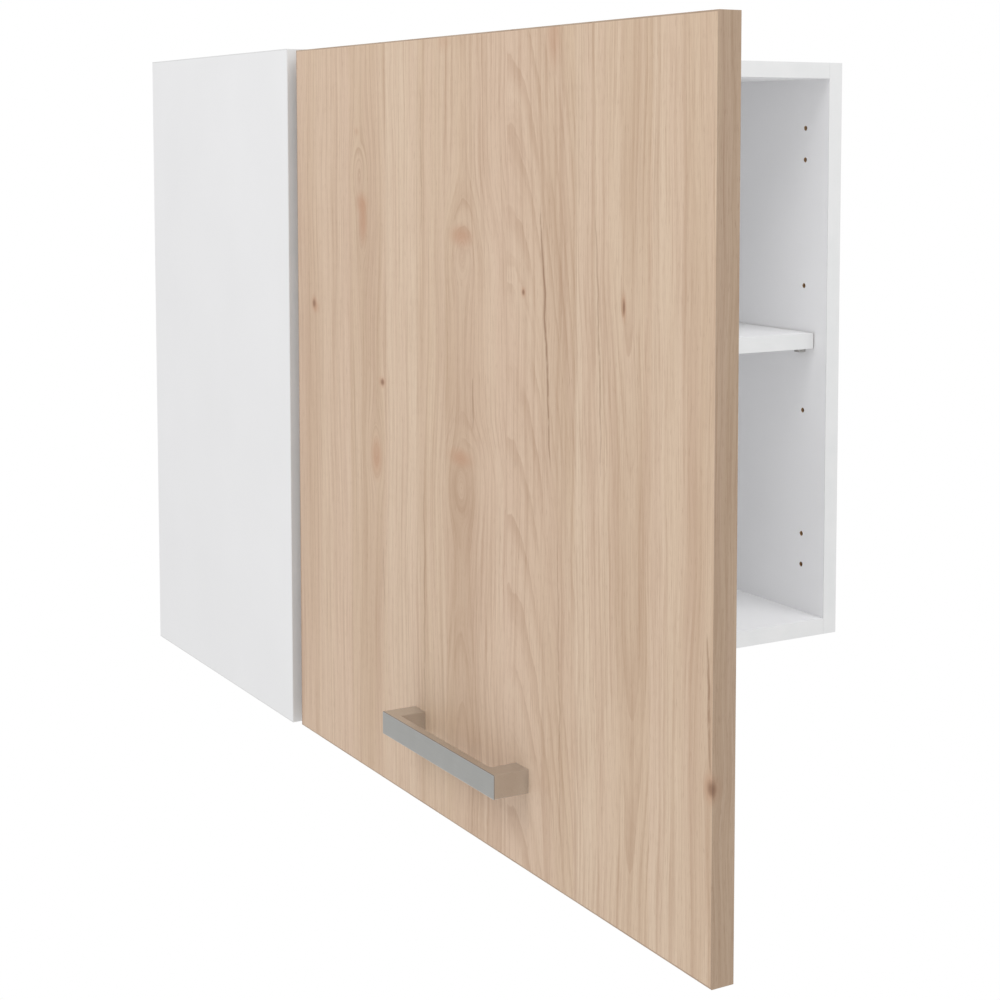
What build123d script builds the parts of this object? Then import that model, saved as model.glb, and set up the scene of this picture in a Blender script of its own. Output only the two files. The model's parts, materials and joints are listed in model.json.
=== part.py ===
from build123d import *
from math import cos, radians, sin
import os

# A wall cabinet with one door, a loose shelf and concealed hinges, in millimetres.
# +X points right, +Y into the wall, +Z up. The origin is in the middle of the width, on the wall
# plane, at the underside. The door is modelled standing open at a right angle to the front.

# Driving sizes of the carcass
WIDTH = 600
HEIGHT = 578
DEPTH = 334
BOARD = 16
BAND = 1
BAND_ROUNDING = 0.4

INNER = WIDTH / 2 - BOARD
FRONT = -DEPTH
BACK_THICKNESS = 3
BACK_SETBACK = 18
GROOVE_WIDTH = BACK_THICKNESS + 0.2
GROOVE_DEPTH = 6
BACK_FACE = -BACK_SETBACK - GROOVE_WIDTH

# Holes bored on the 32 mm system
HOLE_PITCH = 32
SYSTEM_RADIUS = 2.5
SYSTEM_DEPTH = 12
EURO_SCREW_RADIUS = 2.8  # a thread-cutting screw widens its system hole to this, half way down the thread
HOLE_SETBACK = 37
SHELF_HOLE_HEIGHTS = [HEIGHT / 2 + step * HOLE_PITCH for step in (-2, 0, 2)]
HINGE_HEIGHTS = {"lower": 81, "upper": HEIGHT - 81}
FRONT_ROW = FRONT + HOLE_SETBACK
REAR_ROW = FRONT_ROW + 7 * HOLE_PITCH

# Corner joints: wooden dowels, and cam locks that pull on bolts
DOWEL_RADIUS = 4
DOWEL_LENGTH = 30
DOWEL_IN_SIDE = 11
BOLT_RADIUS = 2.5
BOLT_IN_SIDE = 11
BOLT_SHANK_RADIUS = 3
BOLT_HEAD_RADIUS = 3.5
BOLT_BORE_RADIUS = 4
CAM_DISTANCE = 34
CAM_RADIUS = 7.5
CAM_BORE_DEPTH = 13.5
CAM_CAP_THICKNESS = 1.2
BOLT_SETBACK = 62
DOWEL_SETBACK = BOLT_SETBACK + HOLE_PITCH
CORNER_ROWS = [FRONT + BOLT_SETBACK, -BOLT_SETBACK]
DOWEL_ROWS = [FRONT + DOWEL_SETBACK, -DOWEL_SETBACK]

# Shelf
SHELF_SETBACK = 19.5
SHELF_END_GAP = 1
SHELF_UNDERSIDE = HEIGHT / 2 + 1
PIN_REACH = 9
PIN_WIDTH = 8
PIN_DEPTH = 4.5

# Hangers behind the top corners
HANGER_THICKNESS = 18
HANGER_LENGTH = 60
HANGER_HEIGHT = 60
HANGER_TOP = HEIGHT - BOARD - 3
HANGER_MIDDLE = HANGER_TOP - HANGER_HEIGHT / 2
PEG_RADIUS = 5
PEG_LENGTH = 10
PEG_SPACING = HOLE_PITCH
HANGER_REAR = BACK_FACE - 0.3
HANGER_FRONT = HANGER_REAR - HANGER_LENGTH
HOOK_THICKNESS = 3
HOOK_X = INNER - HANGER_THICKNESS / 2
HOOK_TIP = -5
HOOK_ROOT = HANGER_FRONT + 20
SLOT_CLEARANCE = 0.5
HANGER_SCREW_RADIUS = 3
HANGER_SCREW_OFFSET = 16
DEPTH_SCREW_LENGTH = 17
HEIGHT_SCREW_LENGTH = 14

# Door, with its own directions: u from the hinged edge, v up, w outward from the inner face
DOOR_WIDTH = WIDTH - 4
DOOR_HEIGHT = HEIGHT - 2
DOOR_LIFT = 0.2
DOOR_GAP = 2
DOOR_OVERHANG = 2

# Concealed hinges. Points are measured from the front left corner of the carcass: x to the right
# and y backwards. The link turns on a pin in the arm and on a pin in the cup, and while the door
# opens it turns back by a fixed share of the door's angle.
ARM_PIVOT = (38, 1.5)
CUP_PIVOT_CLOSED = (9.4, -8.76)
LINK_BEND_CLOSED = (15.05, -12.97)
LINK_SHARE = 0.186
OPEN_ANGLE = 90
ARM_PIN_RADIUS = 1.25
CUP_PIN_RADIUS = 0.9
PRESS_CLEARANCE = 0.02
RUNNING_CLEARANCE = 0.05
LINK_THICKNESS = 1.6
LINK_HALF_WIDTH = 4
ARM_HALF_WIDTH = 5.6
SHEET = 1.2
CUP_RADIUS = 17.5
CUP_EDGE_DISTANCE = 4
CUP_BORE_DEPTH = 13
CUP_DEPTH = 12.8
CUP_WALL = 0.95
CUP_FLOOR = 0.6
CUP_FLANGE = 1
CUP_PIN_HALF_LENGTH = 8.85
CUP_SCREW_SPACING = 48
CUP_SCREW_OFFSET = 6
CUP_SCREW_RADIUS = 2
CUP_SCREW_LENGTH = 13
CUP_CENTRE_U = CUP_EDGE_DISTANCE + CUP_RADIUS
PLATE_THICKNESS = 2.2
ARM_LEVEL = 29
ARM_NOSE = 4.2
ARM_SCREW_RADIUS = 2
ARM_SCREW_ROWS = [38, 54]
ARM_SCREW_HEAD_RADIUS = 3.6
ARM_SCREW_HEAD_HEIGHT = 2.2

# Handle
HANDLE_LENGTH = 170
HANDLE_HEIGHT = 17
HANDLE_REACH = 27.5
HANDLE_BAR = 7
HANDLE_LEG = 17
HANDLE_SCREWS = 160
HANDLE_LOW_EDGE = 54.8
HANDLE_ROUNDING = 0.6
HANDLE_SCREW_RADIUS = 2
HANDLE_SCREW_LENGTH = 25

PAD_RADIUS = 4.5
PAD_THICKNESS = 1.8
PAD_INSET = 10


def turned(point, centre, degrees):
    """A point turned about a centre, seen from above, anticlockwise."""
    dx = point[0] - centre[0]
    dy = point[1] - centre[1]
    c = cos(radians(degrees))
    s = sin(radians(degrees))
    return (centre[0] + c * dx - s * dy, centre[1] + s * dx + c * dy)


# Where the hinge stands with the door open, and the door's inner face and hinged edge from it
LINK_TURN = LINK_SHARE * OPEN_ANGLE
CUP_PIVOT = turned(CUP_PIVOT_CLOSED, ARM_PIVOT, LINK_TURN)
LINK_BEND = turned(LINK_BEND_CLOSED, ARM_PIVOT, LINK_TURN)
CUP_PIVOT_U = CUP_PIVOT_CLOSED[0] - DOOR_OVERHANG
CUP_PIVOT_W = -CUP_PIVOT_CLOSED[1] - DOOR_GAP
DOOR_FACE_X = -WIDTH / 2 + CUP_PIVOT[0] + CUP_PIVOT_W
DOOR_EDGE_Y = FRONT + CUP_PIVOT[1] + CUP_PIVOT_U
DOOR = Plane(origin=(DOOR_FACE_X, DOOR_EDGE_Y, DOOR_LIFT), x_dir=(0, -1, 0), z_dir=(-1, 0, 0))
DOOR_INWARD = (1, 0, 0)


def on_door(u, v, w=0):
    """A point given in the door's own directions."""
    return DOOR.from_local_coords(Vector(u, v, w))


def hinge_plane(height):
    """A level plane at a hinge's height, with its origin over the carcass's front left corner."""
    return Plane(origin=(-WIDTH / 2, FRONT, height))


def save(part, name):
    part.label = name
    export_step(part, f"parts/{name}.step")


def drill(mouth, outward, radius, depth):
    """Bores a hole in the part being made, with its mouth at a point and facing outward."""
    with Locations(Plane(origin=mouth, z_dir=outward)):
        Hole(radius, depth)


def board(x_low, x_high, y_low, y_high, z_low, z_high, rounding=0):
    """A straight board or strip between six planes. Rounding eases its long front edges."""
    with BuildPart() as slab:
        with BuildSketch(Plane.XY.offset(z_low)):
            with Locations(((x_low + x_high) / 2, (y_low + y_high) / 2)):
                Rectangle(x_high - x_low, y_high - y_low)
        extrude(amount=z_high - z_low)
        if rounding:
            fillet(slab.faces().sort_by(Axis.Y)[0].edges(), rounding)
    return slab.part


def side_panel(side):
    """A side, bored on its inner face. The two sides are bored alike, as mirror images.

    The screws of the hinge plates have widened their holes in the left side only.
    """
    inner = side * INNER
    hinge_hole_radius = EURO_SCREW_RADIUS if side < 0 else SYSTEM_RADIUS
    inward = (-side, 0, 0)
    low, high = sorted((inner, side * WIDTH / 2))
    with BuildPart() as panel:
        add(board(low, high, FRONT + BAND, 0, BAND, HEIGHT - BAND))
        with BuildSketch(Plane.XY):
            with Locations((inner, -BACK_SETBACK - GROOVE_WIDTH / 2)):
                Rectangle(2 * GROOVE_DEPTH, GROOVE_WIDTH)
        extrude(amount=HEIGHT, mode=Mode.SUBTRACT)
        for height in SHELF_HOLE_HEIGHTS:
            for row in (FRONT_ROW, REAR_ROW):
                drill((inner, row, height), inward, SYSTEM_RADIUS, SYSTEM_DEPTH)
        for height in HINGE_HEIGHTS.values():
            for step in (-0.5, 0.5):
                mouth = (inner, FRONT_ROW, height + step * HOLE_PITCH)
                drill(mouth, inward, hinge_hole_radius, SYSTEM_DEPTH)
        for height in (BOARD / 2, HEIGHT - BOARD / 2):
            for row in CORNER_ROWS:
                drill((inner, row, height), inward, BOLT_RADIUS, BOLT_IN_SIDE)
            for row in DOWEL_ROWS:
                drill((inner, row, height), inward, DOWEL_RADIUS, DOWEL_IN_SIDE + 1)
        for row in hanger_peg_rows():
            drill((inner, row, HANGER_MIDDLE), inward, PEG_RADIUS, PEG_LENGTH + 1)
    return panel.part


def cross_panel(low, outward):
    """The top or the bottom. Outward is +1 for the top, whose cams are bored from above."""
    inner_face = low if outward > 0 else low + BOARD
    outer_face = low + BOARD if outward > 0 else low
    middle = low + BOARD / 2
    with BuildPart() as panel:
        add(board(-INNER, INNER, FRONT + BAND, 0, low, low + BOARD))
        with BuildSketch(Plane.YZ.offset(-INNER)):
            with Locations((-BACK_SETBACK - GROOVE_WIDTH / 2, inner_face)):
                Rectangle(GROOVE_WIDTH, 2 * GROOVE_DEPTH)
        extrude(amount=2 * INNER, mode=Mode.SUBTRACT)
        for side in (-1, 1):
            for row in CORNER_ROWS:
                drill((side * INNER, row, middle), (side, 0, 0), BOLT_BORE_RADIUS, CAM_DISTANCE)
                cam = (side * (INNER - CAM_DISTANCE), row, outer_face)
                drill(cam, (0, 0, outward), CAM_RADIUS, CAM_BORE_DEPTH)
            for row in DOWEL_ROWS:
                depth = DOWEL_LENGTH - DOWEL_IN_SIDE + 1
                drill((side * INNER, row, middle), (side, 0, 0), DOWEL_RADIUS, depth)
    return panel.part


def back_panel():
    """Thin hardboard in the grooves, with a window behind each hanger for its hook."""
    reach = GROOVE_DEPTH - 0.5
    front = BACK_FACE + (GROOVE_WIDTH - BACK_THICKNESS) / 2
    low = BOARD - reach
    high = HEIGHT - BOARD + reach
    with BuildPart() as panel:
        add(board(-INNER - reach, INNER + reach, front, front + BACK_THICKNESS, low, high))
        with BuildSketch(Plane.XZ.offset(-front)):
            with Locations((-HOOK_X, HANGER_MIDDLE), (HOOK_X, HANGER_MIDDLE)):
                RectangleRounded(HOOK_THICKNESS + 8, HANGER_HEIGHT - 14, 2)
        extrude(amount=-BACK_THICKNESS, mode=Mode.SUBTRACT)
    return panel.part


def side_end_bands():
    """The thin strips that close the top and bottom ends of both sides."""
    with BuildPart() as bands:
        for low in (0, HEIGHT - BAND):
            for left in (-WIDTH / 2, INNER):
                add(board(left, left + BOARD, FRONT + BAND, 0, low, low + BAND))
    return bands.part


def carcass_corners():
    """The signs of the eight places where a side meets the top or the bottom."""
    return [(side, end) for side in (-1, 1) for end in (-1, 1)]


def corner_height(end):
    return BOARD / 2 if end < 0 else HEIGHT - BOARD / 2


def corner_dowels():
    chamfer_size = 1
    with BuildPart() as dowels:
        for side, end in carcass_corners():
            for row in DOWEL_ROWS:
                deep = side * (INNER + DOWEL_IN_SIDE)
                start = Plane(origin=(deep, row, corner_height(end)), z_dir=(-side, 0, 0))
                with BuildSketch(start):
                    Circle(DOWEL_RADIUS)
                extrude(amount=DOWEL_LENGTH)
        rims = dowels.edges().filter_by(GeomType.CIRCLE)
        chamfer(rims, chamfer_size)
    return dowels.part


def cam_bolts():
    """Each bolt is screwed into a side and ends in a round head inside its cam."""
    neck_radius = 1.6
    head_length = 2.5
    shank_end = CAM_DISTANCE - CAM_RADIUS - 0.1
    neck_length = CAM_DISTANCE - head_length / 2 - shank_end
    with BuildPart() as bolts:
        for side, end in carcass_corners():
            for row in CORNER_ROWS:
                start = Plane(origin=(side * INNER, row, corner_height(end)), z_dir=(-side, 0, 0))
                with BuildSketch(start):
                    Circle(BOLT_RADIUS)
                extrude(amount=-BOLT_IN_SIDE + 0.5)
                with BuildSketch(start):
                    Circle(BOLT_SHANK_RADIUS)
                extrude(amount=shank_end)
                with BuildSketch(start.offset(shank_end)):
                    Circle(neck_radius)
                extrude(amount=neck_length)
                with BuildSketch(start.offset(shank_end + neck_length)):
                    Circle(BOLT_HEAD_RADIUS)
                extrude(amount=head_length)
    return bolts.part


def cam_centres():
    """(x, y, outer face height, outward sign, side sign) of each cam."""
    return [
        (side * (INNER - CAM_DISTANCE), row, 0 if end < 0 else HEIGHT, end, side)
        for side, end in carcass_corners()
        for row in CORNER_ROWS
    ]


def cam_locks():
    """Round locks with a pocket for the bolt's head and a slot for its neck."""
    clearance = 0.1
    height = CAM_BORE_DEPTH - CAM_CAP_THICKNESS - 0.3
    cross_length = CAM_RADIUS - 0.5
    cross_width = 1.4
    cross_depth = 2
    pocket_radius = BOLT_HEAD_RADIUS + 0.6
    pocket_width = 4
    neck_slot = 4.2
    with BuildPart() as cams:
        for x, y, face, end, side in cam_centres():
            top = Plane(origin=(x, y, face - end * (CAM_CAP_THICKNESS + 0.1)), z_dir=(0, 0, end))
            with BuildSketch(top):
                Circle(CAM_RADIUS - clearance)
            extrude(amount=-height)
            with BuildSketch(top):
                Rectangle(cross_length, cross_width)
                Rectangle(cross_width, cross_length)
            extrude(amount=-cross_depth, mode=Mode.SUBTRACT)
            axis = Plane(origin=(x, y, corner_height(end)), z_dir=(side, 0, 0))
            with BuildSketch(axis.offset(-pocket_width / 2)):
                Circle(pocket_radius)
            extrude(amount=pocket_width, mode=Mode.SUBTRACT)
            with BuildSketch(axis):
                Rectangle(neck_slot, neck_slot)
            extrude(amount=CAM_RADIUS, mode=Mode.SUBTRACT)
    return cams.part


def cam_caps():
    """Thin discs that close the cam bores, flush with the board."""
    with BuildPart() as caps:
        for x, y, face, end, _ in cam_centres():
            with BuildSketch(Plane(origin=(x, y, face), z_dir=(0, 0, end))):
                Circle(CAM_RADIUS - 0.05)
            extrude(amount=-CAM_CAP_THICKNESS)
        chamfer(caps.edges().filter_by(GeomType.CIRCLE).group_by(Axis.Z)[-1], 0.3)
        chamfer(caps.edges().filter_by(GeomType.CIRCLE).group_by(Axis.Z)[0], 0.3)
    return caps.part


def shelf_pins():
    """A round plug in the side and a flat tongue that the shelf lies on."""
    with BuildPart() as pins:
        for side in (-1, 1):
            for row in (FRONT_ROW, REAR_ROW):
                root = Plane(origin=(side * INNER, row, HEIGHT / 2), z_dir=(-side, 0, 0))
                with BuildSketch(root):
                    Circle(SYSTEM_RADIUS - PRESS_CLEARANCE)
                extrude(amount=-SYSTEM_DEPTH + 1)
                centre = (side * (INNER - PIN_REACH / 2), row)
                with BuildSketch(Plane.XY.offset(SHELF_UNDERSIDE - PIN_DEPTH)):
                    with Locations(centre):
                        RectangleRounded(PIN_REACH, PIN_WIDTH, 1)
                extrude(amount=PIN_DEPTH)
    return pins.part


def shelf_panel():
    end = INNER - SHELF_END_GAP
    front = FRONT + SHELF_SETBACK + BAND
    return board(-end, end, front, BACK_FACE - 1, SHELF_UNDERSIDE, SHELF_UNDERSIDE + BOARD)


def shelf_band():
    end = INNER - SHELF_END_GAP
    front = FRONT + SHELF_SETBACK
    top = SHELF_UNDERSIDE + BOARD
    return board(-end, end, front, front + BAND, SHELF_UNDERSIDE, top, BAND_ROUNDING)


def hanger_peg_rows():
    middle = BACK_FACE - HANGER_LENGTH / 2
    return [middle - PEG_SPACING / 2, middle + PEG_SPACING / 2]


def hanger_block(side, growth=0):
    """The outline of a hanger against its side panel, grown on the faces that a cover hides."""
    low, high = sorted((side * INNER, side * (INNER - HANGER_THICKNESS - growth)))
    bottom = HANGER_TOP - HANGER_HEIGHT - growth
    return board(low, high, HANGER_FRONT - growth, HANGER_REAR, bottom, HANGER_TOP + growth)


def hanger_housing(side):
    """A block with pegs into the side, a slot for the hook and two screw bores from the front."""
    slot_height = HANGER_HEIGHT - 18
    with BuildPart() as housing:
        add(hanger_block(side))
        for row in hanger_peg_rows():
            root = Plane(origin=(side * INNER, row, HANGER_MIDDLE), z_dir=(side, 0, 0))
            with BuildSketch(root):
                Circle(PEG_RADIUS - PRESS_CLEARANCE)
            extrude(amount=PEG_LENGTH)
        with BuildSketch(Plane.XZ.offset(-HANGER_REAR)):
            with Locations((side * HOOK_X, HANGER_MIDDLE)):
                Rectangle(HOOK_THICKNESS + 2 * SLOT_CLEARANCE, slot_height)
        extrude(amount=HANGER_REAR - HOOK_ROOT + 1, mode=Mode.SUBTRACT)
        for offset_z in (-HANGER_SCREW_OFFSET, HANGER_SCREW_OFFSET):
            mouth = (side * HOOK_X, HANGER_FRONT, HANGER_MIDDLE + offset_z)
            drill(mouth, (0, -1, 0), HANGER_SCREW_RADIUS, HOOK_ROOT - HANGER_FRONT - 1)
    return housing.part


def hanger_hook(side):
    """A flat bar that passes through the back and turns down behind the wall rail."""
    bar_top = HANGER_MIDDLE + 10
    bar_bottom = bar_top - 16
    lip_bottom = bar_bottom - 14
    lip_front = HOOK_TIP - 5
    with BuildPart() as hook:
        with BuildSketch(Plane.YZ.offset(side * HOOK_X)):
            with BuildLine():
                Polyline(
                    (HOOK_ROOT, bar_bottom),
                    (HOOK_ROOT, bar_top),
                    (HOOK_TIP, bar_top),
                    (HOOK_TIP, lip_bottom),
                    (lip_front, lip_bottom),
                    (lip_front, bar_bottom),
                    close=True,
                )
            make_face()
        extrude(amount=HOOK_THICKNESS / 2, both=True)
        tip_edges = hook.edges().filter_by(Axis.X).group_by(Axis.Y)[-1]
        fillet(tip_edges, 1.5)
    return hook.part


def hanger_screw(side, offset_z, length):
    """A setting screw with a cross recess, reached from inside the cabinet."""
    head_radius = 3.6
    head_height = 1.1
    axis = Plane(origin=(side * HOOK_X, HANGER_FRONT, HANGER_MIDDLE + offset_z), z_dir=(0, -1, 0))
    with BuildPart() as screw:
        with BuildSketch(axis):
            Circle(head_radius)
        extrude(amount=head_height)
        with BuildSketch(axis):
            Circle(HANGER_SCREW_RADIUS - PRESS_CLEARANCE)
        extrude(amount=-length)
        with BuildSketch(axis.offset(head_height)):
            Rectangle(4.4, 1)
            Rectangle(1, 4.4)
        extrude(amount=-1.8, mode=Mode.SUBTRACT)
    return screw.part


def hanger_cover(side):
    """A thin cap over the housing, open towards the side panel and the back."""
    wall = 1.2
    gap = 1.4
    rounding = 1.5
    with BuildPart() as cover:
        add(hanger_block(side, gap + wall))
        front_edges = cover.faces().sort_by(Axis.Y)[0].edges()
        fillet(front_edges, rounding)
        add(hanger_block(side, gap), mode=Mode.SUBTRACT)
    return cover.part


def hinge_mounting_plate(height):
    """A wing screwed to the side, with a raised block that carries the arm."""
    wing_width = 13
    wing_height = 48
    block_width = 2 * LINK_HALF_WIDTH + 0.2
    block_top = 23
    block_front = 22
    block_rear = 62
    block_middle = (block_front + block_rear) / 2
    face = Plane(origin=(-INNER, FRONT, height), x_dir=(0, 1, 0), z_dir=(1, 0, 0))
    with BuildPart() as plate:
        with BuildSketch(face):
            with Locations((HOLE_SETBACK, 0)):
                RectangleRounded(wing_width, wing_height, 4)
            with Locations((block_middle, 0)):
                RectangleRounded(block_rear - block_front, block_width, 2)
        extrude(amount=PLATE_THICKNESS)
        with BuildSketch(face):
            with Locations((block_middle, 0)):
                RectangleRounded(block_rear - block_front, block_width, 2)
        extrude(amount=block_top - BOARD)
        for step in (-0.5, 0.5):
            mouth = face.from_local_coords(Vector(HOLE_SETBACK, step * HOLE_PITCH, PLATE_THICKNESS))
            drill(mouth, (1, 0, 0), EURO_SCREW_RADIUS, PLATE_THICKNESS)
        for row in ARM_SCREW_ROWS:
            mouth = face.from_local_coords(Vector(row, 0, block_top - BOARD))
            drill(mouth, (1, 0, 0), ARM_SCREW_RADIUS, block_top - BOARD - 1)
    return plate.part


def pan_head_screws(places, into, radius, length, head_radius, head_height):
    """Screws with round heads and cross recesses. Places are under the heads, on the surface."""
    outward = tuple(-part for part in into)
    recess = head_radius * 1.1
    with BuildPart() as screws:
        for place in places:
            seat = Plane(origin=place, z_dir=outward)
            with BuildSketch(seat):
                Circle(head_radius)
            extrude(amount=head_height, taper=12)
            with BuildSketch(seat):
                Circle(radius)
            extrude(amount=-length)
            with BuildSketch(seat.offset(head_height)):
                Rectangle(recess, recess / 4)
                Rectangle(recess / 4, recess)
            extrude(amount=-head_height * 0.6, mode=Mode.SUBTRACT)
    return screws.part


def hinge_plate_screws(height):
    """Two screws in the system holes of the side."""
    x = -INNER + PLATE_THICKNESS
    places = [(x, FRONT_ROW, height + step * HOLE_PITCH) for step in (-0.5, 0.5)]
    radius = EURO_SCREW_RADIUS - PRESS_CLEARANCE
    length = PLATE_THICKNESS + SYSTEM_DEPTH - 1
    head_radius = 4.2
    head_height = 2
    return pan_head_screws(places, (-1, 0, 0), radius, length, head_radius, head_height)


def hinge_arm(height):
    """A channel of sheet steel. Its web faces the room and its two cheeks hold the arm pin."""
    foot = BOARD + PLATE_THICKNESS + 0.6
    rear = 64
    step_rear = 30
    step_front = 8
    front = -0.7
    nose = ARM_PIVOT[0] + ARM_NOSE
    outside = [
        (foot, rear),
        (ARM_LEVEL, rear),
        (ARM_LEVEL, step_rear),
        (nose, step_front),
        (nose, front),
        (ARM_PIVOT[0] - 3, front),
        (foot, BOARD),
    ]
    inside = [
        (0, rear + 6),
        (ARM_LEVEL - SHEET, rear + 6),
        (ARM_LEVEL - SHEET, step_rear + 0.4),
        (nose - SHEET, step_front + 0.4),
        (nose - SHEET, front - 4.3),
        (0, front - 4.3),
    ]
    level = hinge_plane(height)
    with BuildPart() as arm:
        with BuildSketch(level):
            Polygon(*outside, align=None)
        extrude(amount=ARM_HALF_WIDTH, both=True)
        upright = arm.edges().filter_by(Axis.Z).sort_by(Axis.Y)[:2]
        fillet(upright, 2)
        with BuildSketch(level):
            Polygon(*inside, align=None)
        extrude(amount=ARM_HALF_WIDTH - SHEET, both=True, mode=Mode.SUBTRACT)
        top = level.from_local_coords(Vector(*ARM_PIVOT, ARM_HALF_WIDTH))
        drill(top, (0, 0, 1), ARM_PIN_RADIUS + PRESS_CLEARANCE, 2 * ARM_HALF_WIDTH)
        for row in ARM_SCREW_ROWS:
            mouth = level.from_local_coords(Vector(ARM_LEVEL, row, 0))
            drill(mouth, (1, 0, 0), ARM_SCREW_RADIUS + PRESS_CLEARANCE, SHEET)
    return arm.part


def hinge_arm_screws(height):
    """The fixing screw and the side setting screw, through the web into the plate's block."""
    level = hinge_plane(height)
    places = [level.from_local_coords(Vector(ARM_LEVEL, row, 0)) for row in ARM_SCREW_ROWS]
    radius = ARM_SCREW_RADIUS - PRESS_CLEARANCE
    head = (ARM_SCREW_HEAD_RADIUS, ARM_SCREW_HEAD_HEIGHT)
    return pan_head_screws(places, (-1, 0, 0), radius, ARM_LEVEL - BOARD - 2, *head)


def hinge_arm_cap(height):
    """A clip-on cover over the arm's screws."""
    head_room = ARM_LEVEL + ARM_SCREW_HEAD_HEIGHT + 0.8
    skirt = 22
    rear = 66
    step = 30.5
    front = 24
    wall = 1
    gap = 0.3
    outside = [
        (skirt, rear),
        (head_room + wall, rear),
        (head_room + wall, step),
        (head_room + wall + 3.4, front),
        (skirt, front),
    ]
    inside = [
        (0, rear - wall),
        (head_room, rear - wall),
        (head_room, step - 0.3),
        (head_room + 3.8, front - 1.1),
        (0, front - 1.1),
    ]
    level = hinge_plane(height)
    with BuildPart() as cap:
        with BuildSketch(level):
            Polygon(*outside, align=None)
        extrude(amount=ARM_HALF_WIDTH + gap + wall, both=True)
        long_edges = cap.edges().filter_by(Axis.Y).group_by(Axis.X)[-1]
        fillet(long_edges, 0.8)
        with BuildSketch(level):
            Polygon(*inside, align=None)
        extrude(amount=ARM_HALF_WIDTH + gap, both=True, mode=Mode.SUBTRACT)
    return cap.part


def upright_pin(height, place, radius, half_length):
    with BuildPart() as pin:
        with BuildSketch(hinge_plane(height)):
            with Locations(place):
                Circle(radius)
        extrude(amount=half_length, both=True)
    return pin.part


def hinge_link(height):
    """A bent strap from the arm's pin, round the door's edge, to the pin inside the cup."""
    arm_eye = 2.6
    cup_eye = 1.75
    level = hinge_plane(height)
    with BuildPart() as link:
        with BuildSketch(level):
            with BuildLine():
                FilletPolyline(ARM_PIVOT, LINK_BEND, CUP_PIVOT, radius=2)
            trace(line_width=LINK_THICKNESS)
            with Locations(ARM_PIVOT):
                Circle(arm_eye)
            with Locations(CUP_PIVOT):
                Circle(cup_eye)
            with Locations(ARM_PIVOT):
                Circle(ARM_PIN_RADIUS + RUNNING_CLEARANCE, mode=Mode.SUBTRACT)
            with Locations(CUP_PIVOT):
                Circle(CUP_PIN_RADIUS + RUNNING_CLEARANCE, mode=Mode.SUBTRACT)
        extrude(amount=LINK_HALF_WIDTH, both=True)
    return link.part


def cup_screw_places(height, w):
    u = CUP_CENTRE_U + CUP_SCREW_OFFSET
    v = height - DOOR_LIFT
    return [on_door(u, v + step * CUP_SCREW_SPACING, w) for step in (-0.5, 0.5)]


def hinge_cup(height):
    """A round cup in the door with a flange that takes two screws."""
    v = height - DOOR_LIFT
    flange = DOOR.offset(-CUP_FLANGE)
    with BuildPart() as cup:
        with BuildSketch(flange):
            with Locations((CUP_CENTRE_U, v)):
                Circle(CUP_RADIUS + 2)
            with Locations((CUP_CENTRE_U + CUP_SCREW_OFFSET, v)):
                RectangleRounded(13, CUP_SCREW_SPACING + 13, 5)
        extrude(amount=CUP_FLANGE)
        with BuildSketch(DOOR):
            with Locations((CUP_CENTRE_U, v)):
                Circle(CUP_RADIUS - 0.05)
        extrude(amount=CUP_DEPTH)
        with BuildSketch(flange):
            with Locations((CUP_CENTRE_U, v)):
                Circle(CUP_RADIUS - CUP_WALL)
        extrude(amount=CUP_FLANGE + CUP_DEPTH - CUP_FLOOR, mode=Mode.SUBTRACT)
        for place in cup_screw_places(height, -CUP_FLANGE):
            drill(place, DOOR_INWARD, CUP_SCREW_RADIUS, CUP_FLANGE)
        ends = on_door(CUP_PIVOT_U, v + CUP_RADIUS, CUP_PIVOT_W)
        drill(ends, (0, 0, 1), CUP_PIN_RADIUS + PRESS_CLEARANCE, 2 * CUP_RADIUS)
    return cup.part


def hinge_cup_screws(height):
    places = cup_screw_places(height, -CUP_FLANGE)
    into = tuple(-part for part in DOOR_INWARD)
    radius = CUP_SCREW_RADIUS - PRESS_CLEARANCE
    head_radius = 3.8
    head_height = 1.4
    return pan_head_screws(places, into, radius, CUP_SCREW_LENGTH, head_radius, head_height)


def door_panel():
    """The door's board, bored for the cups, their screws and the handle."""
    with BuildPart() as panel:
        with BuildSketch(DOOR):
            with Locations((DOOR_WIDTH / 2, DOOR_HEIGHT / 2)):
                Rectangle(DOOR_WIDTH - 2 * BAND, DOOR_HEIGHT - 2 * BAND)
        extrude(amount=BOARD)
        for height in HINGE_HEIGHTS.values():
            mouth = on_door(CUP_CENTRE_U, height - DOOR_LIFT)
            drill(mouth, DOOR_INWARD, CUP_RADIUS, CUP_BORE_DEPTH)
            for place in cup_screw_places(height, 0):
                drill(place, DOOR_INWARD, CUP_SCREW_RADIUS, CUP_SCREW_LENGTH - CUP_FLANGE + 0.5)
        for place in handle_screw_places(0):
            drill(place, DOOR_INWARD, HANDLE_SCREW_RADIUS + 0.2, BOARD)
    return panel.part


def door_band(u, v, width, height):
    """An edge strip of the door, centred on u and v."""
    with BuildPart() as band:
        with BuildSketch(DOOR):
            with Locations((u, v)):
                Rectangle(width, height)
        extrude(amount=BOARD)
    return band.part


def door_bands():
    middle_u = DOOR_WIDTH / 2
    middle_v = DOOR_HEIGHT / 2
    return {
        "door_hinge_edge_band": door_band(BAND / 2, middle_v, BAND, DOOR_HEIGHT),
        "door_free_edge_band": door_band(DOOR_WIDTH - BAND / 2, middle_v, BAND, DOOR_HEIGHT),
        "door_bottom_edge_band": door_band(middle_u, BAND / 2, DOOR_WIDTH - 2 * BAND, BAND),
        "door_top_edge_band": door_band(
            middle_u, DOOR_HEIGHT - BAND / 2, DOOR_WIDTH - 2 * BAND, BAND
        ),
    }


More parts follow.
